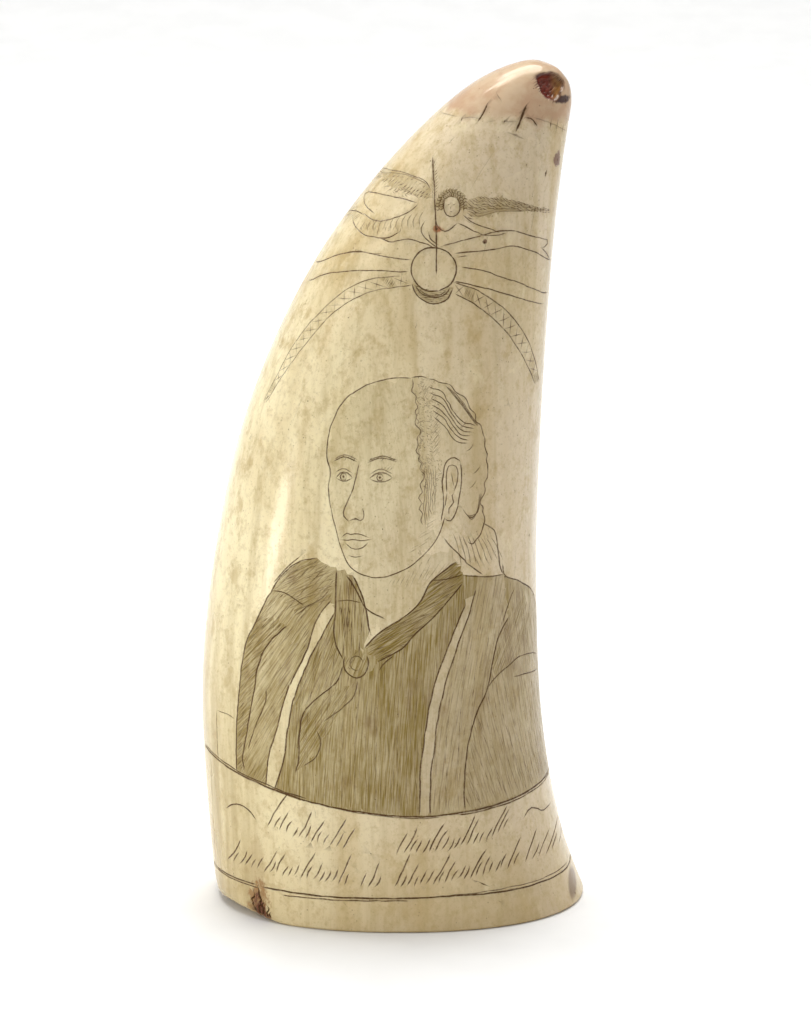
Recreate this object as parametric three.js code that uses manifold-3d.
// A scrimshaw whale tooth that stands on its sawn root: one solid piece of tooth ivory, oval in section,
// leaning to +X as it rises to a worn, rounded tip. The root end is open, with the tooth's own conical pulp
// cavity in it. Millimetres, +Z up, front face towards -Y. The origin is under the middle of the tooth, on
// the plane that it stands on.

import * as THREE from "three";
import { mergeVertices } from "three/addons/utils/BufferGeometryUtils.js";
import Module from "manifold-3d";

// ---- driving dimensions -------------------------------------------------------------------------

const AROUND = 48; // facets round the tooth
const OUTSIDE_RINGS = 44;
const CAVITY_RINGS = 9;
const FIRST_RING = 0.02; // how far up the first ring above the worn foot lies, as a share of the way
const RING_CROWDING = 1.15; // above 1 the rings lie closer at the root

const TIP = [31.1, 157.35]; // the furthest point of the worn tip, as x and z

// The two edges of the tooth seen from the front, from the root up to the tip, as x and z.
const CONVEX_EDGE = [
  [-33.8, 0],
  [-35.0, 14],
  [-36.1, 43],
  [-33.0, 70],
  [-26.7, 96],
  [-13.9, 123.5],
  [3.0, 145.4],
  [16.2, 156.7],
  [25.2, 160],
  [28.3, 159.35],
  [30.1, 158.4],
  TIP,
];
const CONCAVE_EDGE = [
  [36.1, 0],
  [31.7, 13.5],
  [28.1, 34],
  [26.8, 63],
  [27.6, 96],
  [29.8, 130],
  [31.9, 147.5],
  [32.6, 152.2],
  [32.4, 154.9],
  [31.85, 156.3],
  TIP,
];

const FLATNESS = [0.71, 0.73, 0.8, 0.93]; // thickness over width, evenly spaced from the root to the tip
const SECTION_POWER = 2.2; // of the superellipse that each section follows; 2 is a plain ellipse

const FOOT_ROUND = 0.6; // the worn edge of the sawn root
const WALL_AT_ROOT = 7.5;
const CAVITY_DEPTH = 58;
const CAVITY_TAPER = 1.7; // how slowly the cavity narrows at first
const CAVITY_NARROWING = 0.35; // the straight share of its narrowing, from its mouth to its end
const CAVITY_LEAN = -4.5; // how far the cavity's end lies from its mouth along x

// A shallow break in the root's rim, at the front of its convex side. Angles run from the front towards +X.
// It rises over the edge share of its half span and is level between.
const BREAK = { middle: -76, halfSpan: 42, edge: 0.6, outerRise: 1.6, innerRise: 0.9 };

// A stained fissure that splits the rim at one end of the break.
const FISSURE = { angle: -53, width: 1.1, height: 6, depth: 4.5 };

// The decayed pit in the front of the tip, as it shows from the front, and how far its mouth leans back.
const PIT = { x: 29.1, z: 156.4, radii: [2.8, 1.5, 2.6], lean: 45 };

const IVORY = new THREE.MeshStandardMaterial({ color: 0xd9c9a0, roughness: 0.34, metalness: 0 });

// ---- the outside --------------------------------------------------------------------------------

const edgeCurve = (points) =>
  new THREE.CatmullRomCurve3(
    points.map(([x, z]) => new THREE.Vector3(x, 0, z)),
    false,
    "centripetal",
  );
const convexEdge = edgeCurve(CONVEX_EDGE);
const concaveEdge = edgeCurve(CONCAVE_EDGE);

// The value at share t of a list of evenly spaced values, smoothed by a spline.
const flatness = new THREE.SplineCurve(FLATNESS.map((f, i) => new THREE.Vector2(i, f)));
const flatnessAt = (t) => flatness.getPoint(t).y;

// How far out a superellipse of half-width 1 reaches at an angle, as [sideways, backwards].
function sectionPoint(angle) {
  const rounded = (v) => Math.sign(v) * Math.abs(v) ** (2 / SECTION_POWER);
  return [rounded(Math.sin(angle)), -rounded(Math.cos(angle))];
}

// One ring of the outside at share t of the way up: an oval on the chord between the two edges.
function outsideRing(t, inset = 0) {
  const left = convexEdge.getPointAt(t);
  const right = concaveEdge.getPointAt(t);
  const middle = left.clone().add(right).multiplyScalar(0.5);
  const half = right.clone().sub(left).multiplyScalar(0.5);
  const width = half.length();
  const shrink = (width - inset) / width;
  return ringOf((angle) => {
    const [across, back] = sectionPoint(angle);
    const point = middle.clone().addScaledVector(half, across * shrink);
    point.y += back * (width * flatnessAt(t) - inset);
    return point;
  });
}

function ringOf(pointAt) {
  return Array.from({ length: AROUND }, (_, i) => pointAt((i / AROUND) * 2 * Math.PI));
}

// ---- the root: its rim, the break in it and the pulp cavity -------------------------------------

// How much of the break's full rise the rim has at an angle, from 0 to 1.
function breakShare(angle) {
  const degrees = THREE.MathUtils.radToDeg(angle);
  const away = THREE.MathUtils.euclideanModulo(degrees - BREAK.middle + 180, 360) - 180;
  const share = 1 - Math.abs(away) / BREAK.halfSpan;
  return share > 0 ? THREE.MathUtils.smoothstep(share, 0, BREAK.edge) : 0;
}

const raised = (ring, rise) =>
  ring.map((point, i) => {
    const angle = (i / AROUND) * 2 * Math.PI;
    return point.clone().setZ(point.z + rise * breakShare(angle));
  });

// The cavity is an oval cone with a rounded end; depth runs from 0 at the mouth to 1 at its end.
function cavityRing(depth) {
  const mouth = outsideRing(0, WALL_AT_ROOT);
  const centre = mouth.reduce((sum, p) => sum.add(p), new THREE.Vector3()).multiplyScalar(1 / AROUND);
  const size = Math.sqrt(1 - depth ** CAVITY_TAPER) * (1 - CAVITY_NARROWING * depth);
  return mouth.map((p) => {
    const point = p.clone().sub(centre).multiplyScalar(size).add(centre);
    return point.setX(point.x + CAVITY_LEAN * depth).setZ(CAVITY_DEPTH * depth);
  });
}

// ---- one closed skin from the cavity's end, over the rim, to the tip ----------------------------

function toothSkin() {
  const rings = [];
  for (let i = CAVITY_RINGS; i > 0; i--) {
    const depth = Math.sin(((i / (CAVITY_RINGS + 1)) * Math.PI) / 2);
    rings.push(cavityRing(depth));
  }
  rings.push(raised(cavityRing(0), BREAK.innerRise));
  rings.push(raised(outsideRing(0, FOOT_ROUND), BREAK.outerRise));
  const aboveFoot = outsideRing(0).map((p) => p.clone().setZ(FOOT_ROUND));
  rings.push(raised(aboveFoot, BREAK.outerRise));
  for (let i = 1; i < OUTSIDE_RINGS; i++) {
    const share = Math.sin(((i / OUTSIDE_RINGS) * Math.PI) / 2) ** RING_CROWDING;
    rings.push(outsideRing(FIRST_RING + (1 - FIRST_RING) * share));
  }
  const cavityEnd = cavityRing(1)[0];
  return closedSkin(cavityEnd, rings, convexEdge.getPointAt(1));
}

// A closed mesh through rings of equal length, with a point at each end.
function closedSkin(firstPoint, rings, lastPoint) {
  const points = [firstPoint, ...rings.flat(), lastPoint];
  const last = points.length - 1;
  const at = (ring, i) => 1 + ring * AROUND + (i % AROUND);
  const faces = [];
  for (let i = 0; i < AROUND; i++) {
    faces.push(0, at(0, i + 1), at(0, i));
    for (let ring = 0; ring < rings.length - 1; ring++) {
      const [a, b] = [at(ring, i), at(ring, i + 1)];
      const [c, d] = [at(ring + 1, i), at(ring + 1, i + 1)];
      faces.push(a, b, c, b, d, c);
    }
    faces.push(at(rings.length - 1, i), at(rings.length - 1, i + 1), last);
  }
  return new THREE.BufferGeometry().setFromPoints(points).setIndex(faces);
}

// ---- cuts ---------------------------------------------------------------------------------------

function pitCutter() {
  const [across, deep, tall] = PIT.radii;
  const front = frontOfTooth(PIT.x, PIT.z);
  return new THREE.SphereGeometry(1, 20, 12)
    .scale(across, deep, tall)
    .rotateX(THREE.MathUtils.degToRad(-PIT.lean))
    .translate(PIT.x, front, PIT.z);
}

// The y of the tooth's front face at x and z, found by walking up the rings.
function frontOfTooth(x, z) {
  const steps = 400;
  let best = { miss: Infinity, y: 0 };
  for (let i = steps / 2; i < steps; i++) {
    for (const p of outsideRing(i / steps)) {
      const miss = Math.hypot(p.x - x, p.z - z);
      if (p.y <= 0 && miss < best.miss) best = { miss, y: p.y };
    }
  }
  return best.y;
}

// A thin upright wedge, wide at the foot, set into the rim's outer face.
function fissureCutter() {
  const { width, height, depth } = FISSURE;
  const outline = new THREE.Shape([
    new THREE.Vector2(-width / 2, -1),
    new THREE.Vector2(width / 2, -1),
    new THREE.Vector2(width * 0.3, height * 0.6),
    new THREE.Vector2(0, height),
    new THREE.Vector2(-width * 0.4, height * 0.5),
  ]);
  const angle = THREE.MathUtils.degToRad(FISSURE.angle);
  const [across, back] = sectionPoint(angle);
  const foot = outsideRing(0);
  const centreX = (foot[AROUND / 4].x + foot[(3 * AROUND) / 4].x) / 2;
  const halfWidth = (foot[AROUND / 4].x - foot[(3 * AROUND) / 4].x) / 2;
  return new THREE.ExtrudeGeometry(outline, { depth: depth * 2, bevelEnabled: false })
    .translate(0, 0, -depth)
    .rotateX(Math.PI / 2)
    .rotateZ(angle)
    .translate(centreX + halfWidth * across, halfWidth * flatnessAt(0) * back, 0);
}

// ---- joining ------------------------------------------------------------------------------------

const wasm = await Module();
wasm.setup();

function solid(geometry) {
  const bare = geometry.clone();
  bare.deleteAttribute("normal");
  bare.deleteAttribute("uv");
  const merged = mergeVertices(bare, 1e-4);
  return new wasm.Manifold(
    new wasm.Mesh({
      numProp: 3,
      vertProperties: merged.attributes.position.array,
      triVerts: new Uint32Array(merged.index.array),
    }),
  );
}

function geometryOf(manifold) {
  const { vertProperties, triVerts } = manifold.getMesh();
  const geometry = new THREE.BufferGeometry()
    .setAttribute("position", new THREE.BufferAttribute(vertProperties, 3))
    .setIndex(new THREE.BufferAttribute(triVerts, 1));
  geometry.computeVertexNormals();
  return geometry;
}

const toothSolid = solid(toothSkin()).subtract(solid(pitCutter())).subtract(solid(fissureCutter()));

const tooth = new THREE.Mesh(geometryOf(toothSolid), IVORY);
tooth.name = "tooth";

const scrimshaw = new THREE.Group();
scrimshaw.add(tooth);

export default scrimshaw;
